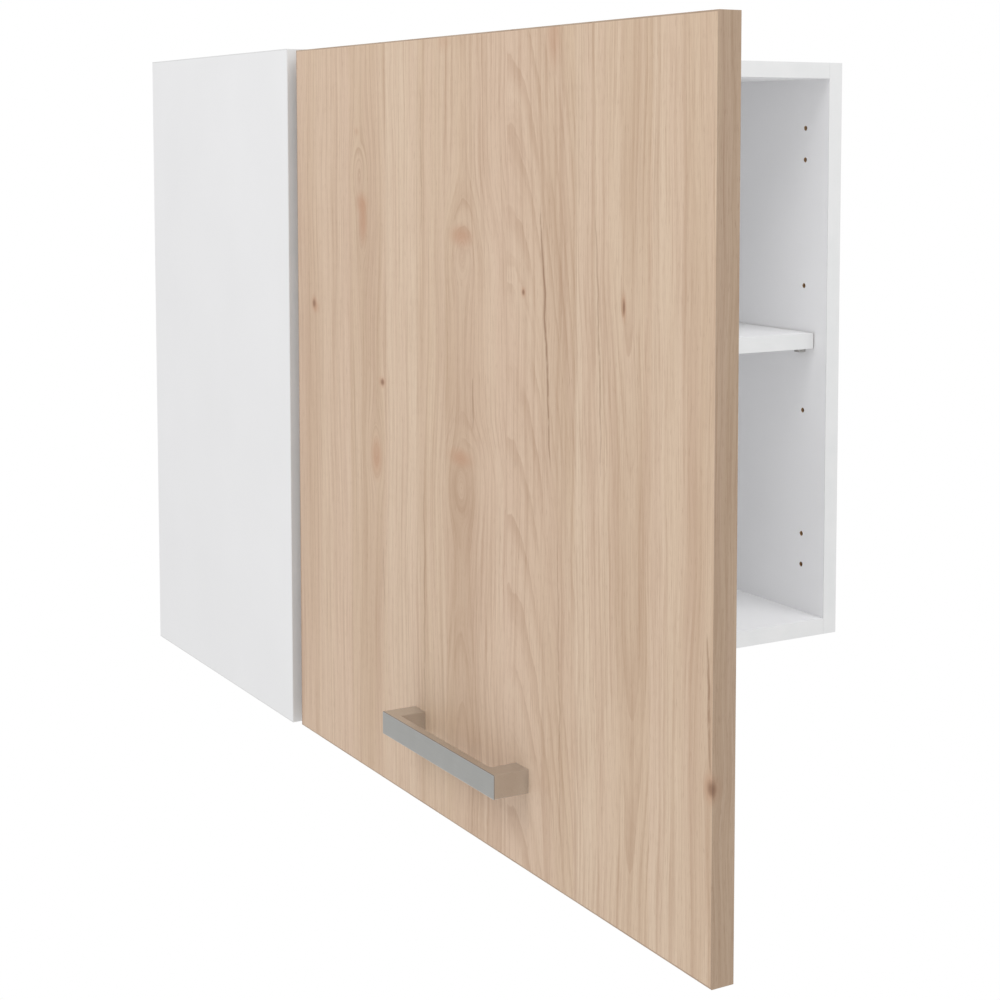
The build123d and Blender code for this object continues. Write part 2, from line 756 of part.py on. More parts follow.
def handle_screw_places(w):
    v = HANDLE_LOW_EDGE + HANDLE_HEIGHT / 2
    return [on_door(DOOR_WIDTH / 2 + step * HANDLE_SCREWS, v, w) for step in (-0.5, 0.5)]


def handle():
    """A square bow handle: a flat bar on two square legs, with a threaded hole in each leg."""
    base = on_door(DOOR_WIDTH / 2, HANDLE_LOW_EDGE, BOARD)
    level = Plane(origin=base, x_dir=(0, -1, 0), z_dir=(0, 0, 1))
    opening = HANDLE_LENGTH - 2 * HANDLE_LEG
    with BuildPart() as bow:
        with BuildSketch(level):
            with Locations((0, -HANDLE_REACH / 2)):
                Rectangle(HANDLE_LENGTH, HANDLE_REACH)
            with Locations((0, -(HANDLE_REACH - HANDLE_BAR) / 2)):
                Rectangle(opening, HANDLE_REACH - HANDLE_BAR, mode=Mode.SUBTRACT)
        extrude(amount=HANDLE_HEIGHT)
        seat = bow.faces().filter_by(Axis.X).sort_by(Axis.X)[-2:].edges()
        fillet(bow.edges() - seat, HANDLE_ROUNDING)
        for place in handle_screw_places(BOARD):
            drill(place, DOOR_INWARD, HANDLE_SCREW_RADIUS, HANDLE_SCREW_LENGTH - BOARD + 2)
    return bow.part


def handle_screws():
    into = tuple(-part for part in DOOR_INWARD)
    radius = HANDLE_SCREW_RADIUS - PRESS_CLEARANCE
    head_radius = 4
    head_height = 2.4
    places = handle_screw_places(0)
    return pan_head_screws(places, into, radius, HANDLE_SCREW_LENGTH, head_radius, head_height)


def bumper_pads():
    """Soft discs on the door's inner face that meet the front of the right side."""
    u = DOOR_WIDTH - PAD_INSET
    with BuildPart() as pads:
        with BuildSketch(DOOR):
            with Locations((u, PAD_INSET), (u, DOOR_HEIGHT - PAD_INSET)):
                Circle(PAD_RADIUS)
        extrude(amount=-PAD_THICKNESS)
        fillet(pads.edges().filter_by(GeomType.CIRCLE).group_by(Axis.X)[-1], 1)
    return pads.part


def front_band(x_low, x_high, z_low, z_high):
    return board(x_low, x_high, FRONT, FRONT + BAND, z_low, z_high, BAND_ROUNDING)


def main():
    os.makedirs("parts", exist_ok=True)

    save(side_panel(-1), "left_side_panel")
    save(side_panel(1), "right_side_panel")
    save(cross_panel(HEIGHT - BOARD, 1), "top_panel")
    save(cross_panel(0, -1), "bottom_panel")
    save(back_panel(), "back_panel")
    save(front_band(-WIDTH / 2, -INNER, 0, HEIGHT), "left_side_front_band")
    save(front_band(INNER, WIDTH / 2, 0, HEIGHT), "right_side_front_band")
    save(front_band(-INNER, INNER, HEIGHT - BOARD, HEIGHT), "top_front_band")
    save(front_band(-INNER, INNER, 0, BOARD), "bottom_front_band")
    save(side_end_bands(), "side_end_bands")
    save(corner_dowels(), "corner_dowels")
    save(cam_bolts(), "cam_bolts")
    save(cam_locks(), "cam_locks")
    save(cam_caps(), "cam_caps")

    save(shelf_pins(), "shelf_pins")
    save(shelf_panel(), "shelf_panel")
    save(shelf_band(), "shelf_front_band")

    for side, name in ((-1, "left"), (1, "right")):
        save(hanger_housing(side), f"hanger_housing_{name}")
        save(hanger_hook(side), f"hanger_hook_{name}")
        save(hanger_screw(side, HANGER_SCREW_OFFSET, DEPTH_SCREW_LENGTH), f"hanger_depth_screw_{name}")
        save(hanger_screw(side, -HANGER_SCREW_OFFSET, HEIGHT_SCREW_LENGTH), f"hanger_height_screw_{name}")
        save(hanger_cover(side), f"hanger_cover_{name}")

    for name, height in HINGE_HEIGHTS.items():
        save(hinge_mounting_plate(height), f"hinge_plate_{name}")
        save(hinge_plate_screws(height), f"hinge_plate_screws_{name}")
        save(hinge_arm(height), f"hinge_arm_{name}")
        save(hinge_arm_screws(height), f"hinge_arm_screws_{name}")
        save(hinge_arm_cap(height), f"hinge_arm_cap_{name}")
        arm_pin = upright_pin(height, ARM_PIVOT, ARM_PIN_RADIUS, ARM_HALF_WIDTH)
        save(arm_pin, f"hinge_arm_pin_{name}")
        save(hinge_link(height), f"hinge_link_{name}")
        save(hinge_cup(height), f"hinge_cup_{name}")
        save(hinge_cup_screws(height), f"hinge_cup_screws_{name}")
        cup_pin = upright_pin(height, CUP_PIVOT, CUP_PIN_RADIUS, CUP_PIN_HALF_LENGTH)
        save(cup_pin, f"hinge_cup_pin_{name}")

    save(door_panel(), "door_panel")
    for name, band in door_bands().items():
        save(band, name)
    save(handle(), "handle")
    save(handle_screws(), "handle_screws")
    save(bumper_pads(), "bumper_pads")


main()
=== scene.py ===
"""Looks, lights and camera for the hanging wall cabinet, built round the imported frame.

All sizes are in metres, except in the wood decor, whose marks are placed in millimetres on the door:
across from the hinged edge and down from the top edge.
"""

import json
import math

import bmesh
import bpy
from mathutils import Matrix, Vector


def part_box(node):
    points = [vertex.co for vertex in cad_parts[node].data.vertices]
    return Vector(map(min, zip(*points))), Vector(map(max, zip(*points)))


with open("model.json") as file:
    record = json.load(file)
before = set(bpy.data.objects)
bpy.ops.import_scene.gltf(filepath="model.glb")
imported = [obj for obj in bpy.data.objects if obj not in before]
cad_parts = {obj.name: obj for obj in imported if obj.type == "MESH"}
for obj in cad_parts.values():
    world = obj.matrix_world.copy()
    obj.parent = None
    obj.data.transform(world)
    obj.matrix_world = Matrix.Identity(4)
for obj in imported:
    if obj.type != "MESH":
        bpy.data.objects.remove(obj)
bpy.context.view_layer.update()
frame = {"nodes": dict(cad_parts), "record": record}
nodes = frame["nodes"]

MM = 0.001


# ---------------------------------------------------------------- fields and materials


def colour(red, green, blue):
    """A screen colour, 0 to 255, as the linear colour that a shader takes."""

    def linear(value):
        value = value / 255
        return value / 12.92 if value <= 0.04045 else ((value + 0.055) / 1.055) ** 2.4

    return (linear(red), linear(green), linear(blue), 1)


class Field:
    """A number that varies over a surface. Arithmetic on fields adds Math nodes to the material."""

    def __init__(self, tree, socket):
        self.tree = tree
        self.socket = socket

    def math(self, operation, *others, clamp=False):
        node = self.tree.nodes.new("ShaderNodeMath")
        node.operation = operation
        node.use_clamp = clamp
        for slot, value in zip(node.inputs, (self, *others)):
            if isinstance(value, Field):
                self.tree.links.new(value.socket, slot)
            else:
                slot.default_value = value
        return Field(self.tree, node.outputs[0])

    def __add__(self, other):
        return self.math("ADD", other)

    def __sub__(self, other):
        return self.math("SUBTRACT", other)

    def __mul__(self, other):
        return self.math("MULTIPLY", other)

    def __truediv__(self, other):
        return self.math("DIVIDE", other)

    def __neg__(self):
        return self * -1

    def size(self):
        return self.math("ABSOLUTE")

    def square(self):
        return self * self

    def root(self):
        return self.math("SQRT")

    def at_least(self, other):
        return self.math("MAXIMUM", other)

    def above(self, limit):
        """1 where the field is more than the limit, and 0 elsewhere."""
        return self.math("GREATER_THAN", limit)

    def fraction(self):
        return self.math("FRACT")

    def smooth(self, low, high, start=0, end=1):
        """Goes smoothly from start to end as the field goes from low to high."""
        node = self.tree.nodes.new("ShaderNodeMapRange")
        node.interpolation_type = "SMOOTHSTEP"
        self.tree.links.new(self.socket, node.inputs["Value"])
        node.inputs["From Min"].default_value = low
        node.inputs["From Max"].default_value = high
        node.inputs["To Min"].default_value = start
        node.inputs["To Max"].default_value = end
        return Field(self.tree, node.outputs[0])

    def blend(self, other, share):
        """This field where share is 0, and the other where share is 1."""
        node = self.tree.nodes.new("ShaderNodeMix")
        node.data_type = "FLOAT"
        self.tree.links.new(share.socket, node.inputs[0])
        self.tree.links.new(self.socket, node.inputs[2])
        self.tree.links.new(other.socket, node.inputs[3])
        return Field(self.tree, node.outputs[0])


class Surface:
    """A material under construction: its node tree, its shader and its place fields in metres."""

    def __init__(self, name, base, roughness, metallic=0, specular=0.5):
        self.material = bpy.data.materials.new(name)
        self.material.use_nodes = True
        self.tree = self.material.node_tree
        self.shader = self.tree.nodes["Principled BSDF"]
        self.shader.inputs["Base Color"].default_value = base
        self.shader.inputs["Roughness"].default_value = roughness
        self.shader.inputs["Metallic"].default_value = metallic
        self.shader.inputs["Specular IOR Level"].default_value = specular
        place = self.tree.nodes.new("ShaderNodeTexCoord")
        split = self.tree.nodes.new("ShaderNodeSeparateXYZ")
        self.tree.links.new(place.outputs["Object"], split.inputs[0])
        self.x, self.y, self.z = (Field(self.tree, socket) for socket in split.outputs)

    def vector(self, *fields):
        node = self.tree.nodes.new("ShaderNodeCombineXYZ")
        for slot, value in zip(node.inputs, fields):
            if isinstance(value, Field):
                self.tree.links.new(value.socket, slot)
            else:
                slot.default_value = value
        return node.outputs[0]

    def noise(self, *fields, detail=2.0, rough=0.5):
        """Noise from 0 to 1 whose features are about one unit of the fields wide."""
        node = self.tree.nodes.new("ShaderNodeTexNoise")
        node.noise_dimensions = "2D" if len(fields) == 2 else "3D"
        self.tree.links.new(self.vector(*fields), node.inputs["Vector"])
        node.inputs["Scale"].default_value = 1
        node.inputs["Detail"].default_value = detail
        node.inputs["Roughness"].default_value = rough
        return Field(self.tree, node.outputs["Fac"])

    def speckle(self, size, detail=2.0, rough=0.5):
        """Noise with spots of one size, in metres, the same in every direction."""
        return self.noise(self.x / size, self.y / size, self.z / size, detail=detail, rough=rough)

    def cells(self, size):
        """A random number for each cell of a scatter of cells of one size, in metres."""
        node = self.tree.nodes.new("ShaderNodeTexVoronoi")
        place = self.vector(self.x / size, self.y / size, self.z / size)
        self.tree.links.new(place, node.inputs["Vector"])
        node.inputs["Scale"].default_value = 1
        split = self.tree.nodes.new("ShaderNodeSeparateColor")
        self.tree.links.new(node.outputs["Color"], split.inputs[0])
        return Field(self.tree, split.outputs[0])

    def ramp(self, field, *stops):
        """A colour for each value of the field, from stops of (value, colour)."""
        node = self.tree.nodes.new("ShaderNodeValToRGB")
        self.tree.links.new(field.socket, node.inputs[0])
        elements = node.color_ramp.elements
        while len(elements) < len(stops):
            elements.new(0.5)
        for element, (value, tone) in zip(elements, sorted(stops, key=lambda stop: stop[0])):
            element.position = value
            element.color = tone
        return node.outputs[0]

    def mix(self, share, first, second, way="MIX"):
        """The first colour where share is 0, and the second where share is 1."""
        node = self.tree.nodes.new("ShaderNodeMix")
        node.data_type = "RGBA"
        node.blend_type = way
        for slot, value in zip((node.inputs[0], node.inputs[6], node.inputs[7]), (share, first, second)):
            if isinstance(value, Field):
                self.tree.links.new(value.socket, slot)
            elif isinstance(value, bpy.types.NodeSocket):
                self.tree.links.new(value, slot)
            else:
                slot.default_value = value
        return node.outputs[2]

    def set_colour(self, socket):
        self.tree.links.new(socket, self.shader.inputs["Base Color"])

    def set_roughness(self, field):
        self.tree.links.new(field.socket, self.shader.inputs["Roughness"])

    def set_bump(self, field, depth):
        """Raises the surface by depth metres where the field is 1."""
        node = self.tree.nodes.new("ShaderNodeBump")
        node.inputs["Distance"].default_value = depth
        node.inputs["Strength"].default_value = 1
        self.tree.links.new(field.socket, node.inputs["Height"])
        self.tree.links.new(node.outputs[0], self.shader.inputs["Normal"])


def dress(node, surface):
    """Gives a CAD node one material."""
    slots = nodes[node].data.materials
    slots.clear()
    slots.append(surface.material)


# ---------------------------------------------------------------- wood decor

DOOR_LOW, DOOR_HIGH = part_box("door_panel")
HINGED_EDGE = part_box("door_hinge_edge_band")[1].y
DOOR_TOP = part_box("door_top_edge_band")[1].z
DOOR_WIDTH_MM = (HINGED_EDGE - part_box("door_free_edge_band")[0].y) / MM

WOOD_BASE = colour(222, 197, 171)
WOOD_LIGHT = colour(226, 202, 177)
WOOD_DEEP = colour(218, 192, 165)
WOOD_PINK = colour(222, 195, 171)
WOOD_BROWN = colour(176, 140, 112)
WOOD_RED = colour(190, 138, 106)
WOOD_DARK = colour(142, 104, 78)

# The decor prints staves side by side. Each row is where a stave ends across the door, then its tone
# at its left and at its right edge
STAVES = (
    (38, WOOD_PINK, WOOD_DEEP),
    (102, WOOD_BASE, WOOD_PINK),
    (167, WOOD_DEEP, WOOD_DEEP),
    (223, WOOD_LIGHT, WOOD_LIGHT),
    (263, WOOD_DEEP, WOOD_BASE),
    (354, WOOD_DEEP, WOOD_PINK),
    (442, WOOD_PINK, WOOD_DEEP),
    (530, WOOD_LIGHT, WOOD_DEEP),
    (DOOR_WIDTH_MM, WOOD_LIGHT, WOOD_DEEP),
)
STAVE_JOINT = 0.6

# Three staves, by number, have arched rings: pointing up, cut through the middle, and pointing down.
# The arches are centred on a place across the door, and are round for a few millimetres at the tip
UPWARD_STAVE = 5
UPWARD_MIDDLE = 289
UPWARD_TIP = 15
HALVED_STAVE = 6
HALVED_EDGE = 354
HALVED_CURVE = 25
HALVED_CROWDING = 0.115
DOWNWARD_STAVE = 7
DOWNWARD_MIDDLE = 505
DOWNWARD_TIP = 12
RING_WIDTH = 6

# Where the rings of an arch draw in, from one place down the door to another, and by how much
UPWARD_CLIMBS = ((85, 165, 16), (262, 318, 14), (350, 560, 16))
DOWNWARD_DROPS = ((120, 345, 13), (360, 560, 10))

# The strips at the top and the bottom of the door show the decor from here across
STRIP_START = 200

# Knots that the grain flows round: across, down, half width, how much longer than wide
GRAIN_SPLITS = (
    (121, 102, 11, 2.0),
    (126, 138, 8, 3.2),
    (148, 318, 10, 2.4),
    (289, 158, 9, 1.8),
    (288, 325, 14, 1.8),
    (33, 210, 2.5, 2.0),
    (160, 262, 2.5, 2.0),
    (499, 178, 2.0, 4.0),
    (594, 455, 4.0, 1.6),
)

# Small dark knots: across, down, half width, half height
DARK_KNOTS = (
    (32.5, 210, 2.6, 3.0),
    (160, 262, 2.8, 2.2),
    (499, 178, 1.3, 4.2),
    (594, 455, 3.4, 4.2),
    (376, 177, 1.5, 1.7),
)

# Soft reddish brown patches: across, down, half width, half height, strength
WARM_PATCHES = (
    (125, 124, 13, 10, 0.5),
    (127, 138, 9, 20, 0.6),
    (288, 143, 19, 9, 0.65),
    (286, 303, 20, 8, 0.6),
    (149, 322, 12, 19, 0.6),
    (116, 68, 5, 4, 0.3),
    (37, 213, 8, 6, 0.35),
    (415, 6, 10, 24, 0.45),
    (262, 3, 12, 10, 0.25),
)

# Broad soft shading along the grain: across, down, half width, half height, strength
SHADES = (
    (290, 350, 34, 290, 0.32),
    (140, 470, 30, 160, 0.24),
    (135, 150, 34, 150, 0.2),
    (418, 300, 24, 340, 0.16),
    (508, 90, 18, 120, 0.24),
    (505, 330, 26, 170, 0.2),
    (580, 330, 18, 330, 0.16),
    (18, 330, 30, 300, 0.24),
    (225, 400, 10, 260, 0.16),
)

# Thin dark streaks: across at the middle, down at the middle, half length, half width, lean, strength
STREAKS = (
    (405.5, 205, 92, 1.0, 0.075, 0.75),
    (470.5, 205, 90, 0.5, 0.045, 0.55),
    (422.5, 440, 120, 0.5, 0.02, 0.4),
    (229.5, 430, 105, 0.6, 0.0, 0.45),
    (226, 90, 62, 1.0, 0.01, 0.3),
    (305, 262, 20, 0.6, 0.02, 0.55),
    (590.5, 405, 44, 0.9, 0.05, 0.65),
    (303, 545, 40, 0.7, 0.0, 0.3),
    (161, 415, 26, 0.8, 0.05, 0.3),
)


def ellipse(across, down, centre_across, centre_down, half_width, half_height):
    """0 at the centre of an ellipse, 1 on its edge, and more outside it."""
    sideways = (across - centre_across) / half_width
    endways = (down - centre_down) / half_height
    return (sideways.square() + endways.square()).root()


def split_grain(across, down):
    """The across field, bent so that lines of equal value flow round the knots and ring inside them."""
    bent = across
    inside = None
    for centre_across, centre_down, half_width, stretch in GRAIN_SPLITS:
        sideways = across - centre_across
        endways = (down - centre_down) / stretch
        spread = sideways.square() + endways.square()
        bent = bent - sideways * half_width**2 / spread.at_least(half_width**2)
        depth = (-(spread.root()) + half_width).at_least(0)
        inside = depth if inside is None else inside + depth
    return bent + inside


def climb(down, steps):
    """The sum of smooth steps down the door."""
    total = None
    for start, end, height in steps:
        rise = down.smooth(start, end) * height
        total = rise if total is None else total + rise
    return total


def wood_rings(surface, across, down):
    """The growth in millimetres, the place across the fibres, the stave's number, and where it is arched."""
    stave = across.above(STAVES[0][0])
    for end, _, _ in STAVES[1:-1]:
        stave = stave + across.above(end)
    sway = (surface.noise(across * 0.01, down * 0.0035, detail=2) - 0.5) * 16
    bent = split_grain(across + sway * 0.4, down) + sway * 0.6
    ripple = surface.noise(across * 0.06, down * 0.03, detail=3) - 0.5

    climbs = climb(down, UPWARD_CLIMBS)
    upward = ((bent - UPWARD_MIDDLE).square() + UPWARD_TIP**2).root() - climbs + ripple * 3
    halved = ((across - HALVED_EDGE).square() / HALVED_CURVE - down) * HALVED_CROWDING + ripple * 2.2
    drops = climb(down, DOWNWARD_DROPS)
    downward = ((bent - DOWNWARD_MIDDLE).square() + DOWNWARD_TIP**2).root() + drops + ripple * 1.5

    rings = bent + ripple * 1.5
    arched = None
    for number, arch in ((UPWARD_STAVE, upward), (HALVED_STAVE, halved), (DOWNWARD_STAVE, downward)):
        here = (stave - number).size().math("LESS_THAN", 0.5)
        rings = rings.blend(arch, here)
        arched = here if arched is None else arched + here
    return rings, bent, stave, arched


def streak_darkness(surface, across, down):
    """How dark the thin streaks are at each place."""
    wobble = (surface.noise(down * 0.03, across * 0.004, detail=2) - 0.5) * 5
    total = None
    for middle_across, middle_down, half_length, half_width, lean, strength in STREAKS:
        along = (down - middle_down) / half_length
        width = (-(along.square()) + 1).at_least(0) * half_width
        aside = (across - middle_across - (down - middle_down) * lean + wobble).size()
        dark = (width - aside).smooth(-1.4, 1.0) * (width / half_width).smooth(0, 0.35) * strength
        total = dark if total is None else total.at_least(dark)
    return total


def stave_colour(surface, across):
    """The ground tone of each stave, changing at the joint after it."""
    stops = []
    start = 0
    for end, left_tone, right_tone in STAVES:
        stops.append(((start + STAVE_JOINT) / DOOR_WIDTH_MM, left_tone))
        stops.append((end / DOOR_WIDTH_MM, right_tone))
        start = end
    return surface.ramp(across / DOOR_WIDTH_MM, *stops)


def decor(name, across, down, edge=False):
    """The printed wood decor: darker on the door's edges, and white on the inner face of its board."""
    surface = Surface(name, WOOD_BASE, 0.5, specular=0.35)
    across = across(surface)
    down = down(surface)
    rings, bent, stave, arched = wood_rings(surface, across, down)
    seed = stave * 41.7

    broad = surface.noise(rings * 0.09 + seed, down * 0.0018, detail=3, rough=0.6)
    lines = surface.noise(rings * 0.38 + seed, down * 0.004, detail=3, rough=0.65)
    fibres = surface.noise(bent * 0.9 + seed, down * 0.016, detail=4, rough=0.75)
    bands = surface.noise(bent * 0.16 + seed, down * 0.0025, detail=3, rough=0.6)
    blush = surface.noise(rings * 0.06 - seed, down * 0.003, detail=2).smooth(0.42, 0.62)
    pores = surface.noise(across * 1.7 + seed, down * 0.11, detail=1).smooth(0.62, 0.8)
    growth = (rings / RING_WIDTH + lines * 0.5).fraction()
    late_wood = growth.smooth(0.5, 0.93) * growth.smooth(1.0, 0.95)
    faint = surface.noise(across * 0.02, down * 0.012, detail=2).smooth(0.35, 0.6)

    made = stave_colour(surface, across)
    made = surface.mix(broad.smooth(0.5, 0.75) * 0.5, made, WOOD_LIGHT)
    made = surface.mix(blush * 0.5, made, WOOD_PINK)
    made = surface.mix(broad.smooth(0.5, 0.25) * 0.2, made, WOOD_BROWN)
    made = surface.mix(bands.smooth(0.54, 0.3) * 0.3, made, WOOD_BROWN)
    made = surface.mix(lines.smooth(0.5, 0.25) * 0.2, made, WOOD_BROWN)
    made = surface.mix(lines.smooth(0.52, 0.75) * 0.4, made, WOOD_LIGHT)
    made = surface.mix(fibres.smooth(0.56, 0.3) * 0.3, made, WOOD_BROWN)
    made = surface.mix(late_wood * faint * (arched * 0.26 + 0.05), made, WOOD_BROWN)
    made = surface.mix(pores * 0.2, made, WOOD_DARK)

    for centre_across, centre_down, half_width, half_height, strength in SHADES:
        place = ellipse(across, down, centre_across, centre_down, half_width, half_height)
        made = surface.mix(place.smooth(1.2, 0.2) * strength * (lines * 0.9 + 0.3), made, WOOD_BROWN)
    for centre_across, centre_down, half_width, half_height, strength in WARM_PATCHES:
        place = ellipse(across, down, centre_across, centre_down, half_width, half_height)
        made = surface.mix(place.smooth(1.25, 0.1) * strength * (lines * 0.8 + 0.4), made, WOOD_RED)
    for centre_across, centre_down, half_width, half_height in DARK_KNOTS:
        place = ellipse(across, down, centre_across, centre_down, half_width, half_height)
        made = surface.mix(place.smooth(3.2, 0.8) * 0.35, made, WOOD_RED)
        made = surface.mix(place.smooth(1.7, 0.3) * 0.8, made, WOOD_DARK)
    broken = surface.noise(across * 0.5, down * 0.12, detail=2).smooth(0.2, 0.5)
    made = surface.mix(streak_darkness(surface, across, down) * (broken * 0.6 + 0.4), made, WOOD_DARK)
    if edge:
        made = surface.mix(1.0, made, colour(217, 215, 214), way="MULTIPLY")
    else:
        inner_face = (surface.x - DOOR_HIGH.x + 0.2 * MM).above(0)
        made = surface.mix(inner_face, made, melamine(surface)[0])
    surface.set_colour(made)
    surface.set_roughness(fibres * 0.12 + pores * 0.15 + 0.42)
    surface.set_bump(fibres * 0.5 - pores - late_wood * 0.3, 0.00003)
    return surface


def door_across(surface):
    """Millimetres across the door, carried round its upright edges by its thickness."""
    return ((surface.y - HINGED_EDGE) * -1 + (surface.x - DOOR_LOW.x)) / MM


def door_down(surface):
    return (surface.z - DOOR_TOP) * -1 / MM


def strip_across(surface):
    """Across the narrow edge strips at the top and the bottom, whose grain runs along the door."""
    return (surface.x - DOOR_LOW.x) / MM + STRIP_START


def strip_down(surface):
    return (surface.y - HINGED_EDGE) * -1 / MM


# ---------------------------------------------------------------- boards

WHITE_LOW = colour(241, 241, 242)
WHITE_HIGH = colour(244, 244, 245)
COATING = 0.15 * MM


def core_colour(surface):
    """Raw chipboard: pressed chips of many browns."""
    coarse = surface.cells(2.1 * MM)
    fine = surface.cells(0.7 * MM)
    return surface.ramp(
        coarse * 0.6 + fine * 0.4,
        (0.1, colour(140, 104, 70)),
        (0.4, colour(186, 150, 108)),
        (0.7, colour(206, 174, 132)),
        (0.95, colour(170, 128, 88)),
    )


def off_the_faces(surface, node, axis):
    """1 inside the board's thickness, where its core shows, and 0 on its two coated faces."""
    low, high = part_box(node)
    place = (surface.x, surface.y, surface.z)[axis]
    middle = (low[axis] + high[axis]) / 2
    half = (high[axis] - low[axis]) / 2
    return ((place - middle).size() - (half - COATING)).math("LESS_THAN", 0)


def melamine(surface):
    """White coating with a fine pearl grain."""
    grain = surface.speckle(1.1 * MM, detail=2)
    cloud = surface.speckle(90 * MM, detail=2)
    tint = surface.ramp(cloud * 0.7 + grain * 0.3, (0.3, WHITE_LOW), (0.7, WHITE_HIGH))
    return tint, grain, cloud


def white_board(node, axis):
    """Coated chipboard, with its core showing where the board is cut or bored."""
    surface = Surface(node + "_white", WHITE_HIGH, 0.45, specular=0.4)
    tint, grain, cloud = melamine(surface)
    bare = off_the_faces(surface, node, axis)
    surface.set_colour(surface.mix(bare, tint, core_colour(surface)))
    surface.set_roughness(grain * 0.1 + cloud * 0.06 + bare * 0.35 + 0.34)
    surface.set_bump(grain, 0.00003)
    return surface


def white_edge():
    """Plastic edge strip, smoother and a little brighter than the boards."""
    surface = Surface("white_edge_strip", WHITE_HIGH, 0.4, specular=0.45)
    grain = surface.speckle(1.6 * MM, detail=2)
    rub = surface.speckle(30 * MM, detail=3)
    surface.set_colour(surface.ramp(rub, (0.3, colour(226, 227, 227)), (0.7, colour(231, 231, 231))))
    surface.set_roughness(rub * 0.16 + 0.28)
    surface.set_bump(grain, 0.00002)
    return surface


def hardboard():
    """Thin back: painted white on the inner face, bare brown fibre on the outer face and the edges."""
    surface = Surface("hardboard", WHITE_HIGH, 0.5)
    low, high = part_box("back_panel")
    inner = (surface.y - (low.y + 0.2 * MM)).math("LESS_THAN", 0)
    fibre = surface.speckle(2.2 * MM, detail=4, rough=0.7)
    mesh_lines = (surface.x / 0.0016).math("SINE") * (surface.z / 0.0016).math("SINE")
    brown = surface.ramp(
        fibre, (0.25, colour(120, 84, 54)), (0.55, colour(158, 118, 80)), (0.8, colour(184, 146, 104))
    )
    cloud = surface.noise(surface.x / 0.08, surface.z / 0.08, detail=3)
    white = surface.ramp(cloud, (0.3, WHITE_LOW), (0.7, WHITE_HIGH))
    surface.set_colour(surface.mix(inner, brown, white))
    surface.set_roughness(fibre * 0.2 + inner * -0.2 + 0.6)
    surface.set_bump(fibre * 0.6 + mesh_lines * 0.4, 0.00008)
    return surface


# ---------------------------------------------------------------- metals and plastics


def handle_metal():
    """Polished nickel with a brushed front, and a fine dark line of painted shade along the edges of the
    front, where the two finishes meet.
    """
    surface = Surface("handle_nickel", colour(212, 210, 207), 0.3, metallic=1)
    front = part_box("handle")[0].x
    skin = 0.1
    painted_shade_line_end = 0.75
    depth = (surface.x - front) / MM
    brushed = depth.smooth(skin, 0.0)
    # Painted shade: a thin dark band on the sides just behind the front face, in place of the shadow line at
    # the front's edges
    painted_shade_line = depth.smooth(skin, 2 * skin) * depth.smooth(painted_shade_line_end, painted_shade_line_end - 0.15)
    brush = surface.noise(surface.x / 0.00022, surface.y / 0.02, surface.z / 0.00022, detail=3, rough=0.6)
    smudge = surface.speckle(20 * MM, detail=3)
    wear = brush * 0.6 + smudge * 0.4
    polished_tone = surface.ramp(wear, (0.3, colour(204, 202, 199)), (0.7, colour(218, 216, 213)))
    brushed_tone = surface.ramp(wear, (0.3, colour(176, 176, 173)), (0.7, colour(190, 190, 187)))
    made = surface.mix(brushed, polished_tone, brushed_tone)
    # The painted shade line darkens the colour here, on the sides just behind the front face
    surface.set_colour(surface.mix(painted_shade_line * 0.7, made, colour(90, 90, 90)))
    surface.set_roughness(brush * 0.1 + smudge * 0.08 + brushed * 0.06 + 0.21)
    surface.set_bump(brush, 0.00001)
    return surface


def plated_steel():
    """Bright nickel plate on pressed steel, with faint rolling marks and dull spots."""
    base = colour(196, 194, 190)
    surface = Surface("nickel_plate", base, 0.28, metallic=1)
    marks = surface.noise(surface.x / 0.004, surface.y / 0.0006, surface.z / 0.004, detail=3)
    spots = surface.speckle(6 * MM, detail=4)
    surface.set_colour(surface.ramp(spots, (0.3, colour(170, 168, 163)), (0.65, base)))
    surface.set_roughness(spots * 0.2 + marks * 0.08 + 0.14)
    surface.set_bump(marks, 0.00001)
    return surface


def zinc():
    """Dull cast zinc."""
    base = colour(160, 162, 164)
    surface = Surface("cast_zinc", base, 0.5, metallic=1)
    grain = surface.speckle(0.6 * MM, detail=3)
    surface.set_colour(surface.ramp(grain, (0.3, colour(128, 130, 132)), (0.7, base)))
    surface.set_roughness(grain * 0.2 + 0.4)
    surface.set_bump(grain, 0.00004)
    return surface


def plastic(name, base, roughness):
    """Moulded plastic with a fine spark-eroded texture and light scuffs."""
    surface = Surface(name, base, roughness)
    grain = surface.speckle(0.5 * MM, detail=2)
    scuff = surface.noise(surface.x / 0.008, surface.y / 0.003, surface.z / 0.008, detail=4)
    dull = tuple(part * 0.93 for part in base[:3]) + (1,)
    surface.set_colour(surface.ramp(scuff, (0.3, dull), (0.6, base)))
    surface.set_roughness(scuff * 0.16 + grain * 0.08 + roughness - 0.12)
    surface.set_bump(grain, 0.00002)
    return surface


def clear_pad():
    """Soft clear bumper, slightly milky."""
    surface = Surface("clear_pad", colour(226, 228, 226), 0.25)
    surface.shader.inputs["Transmission Weight"].default_value = 0.6
    surface.shader.inputs["IOR"].default_value = 1.45
    dust = surface.speckle(1 * MM, detail=3)
    surface.set_colour(surface.ramp(dust, (0.3, colour(210, 212, 210)), (0.7, colour(236, 238, 236))))
    surface.set_roughness(dust * 0.2 + 0.15)
    surface.set_bump(dust, 0.00002)
    return surface


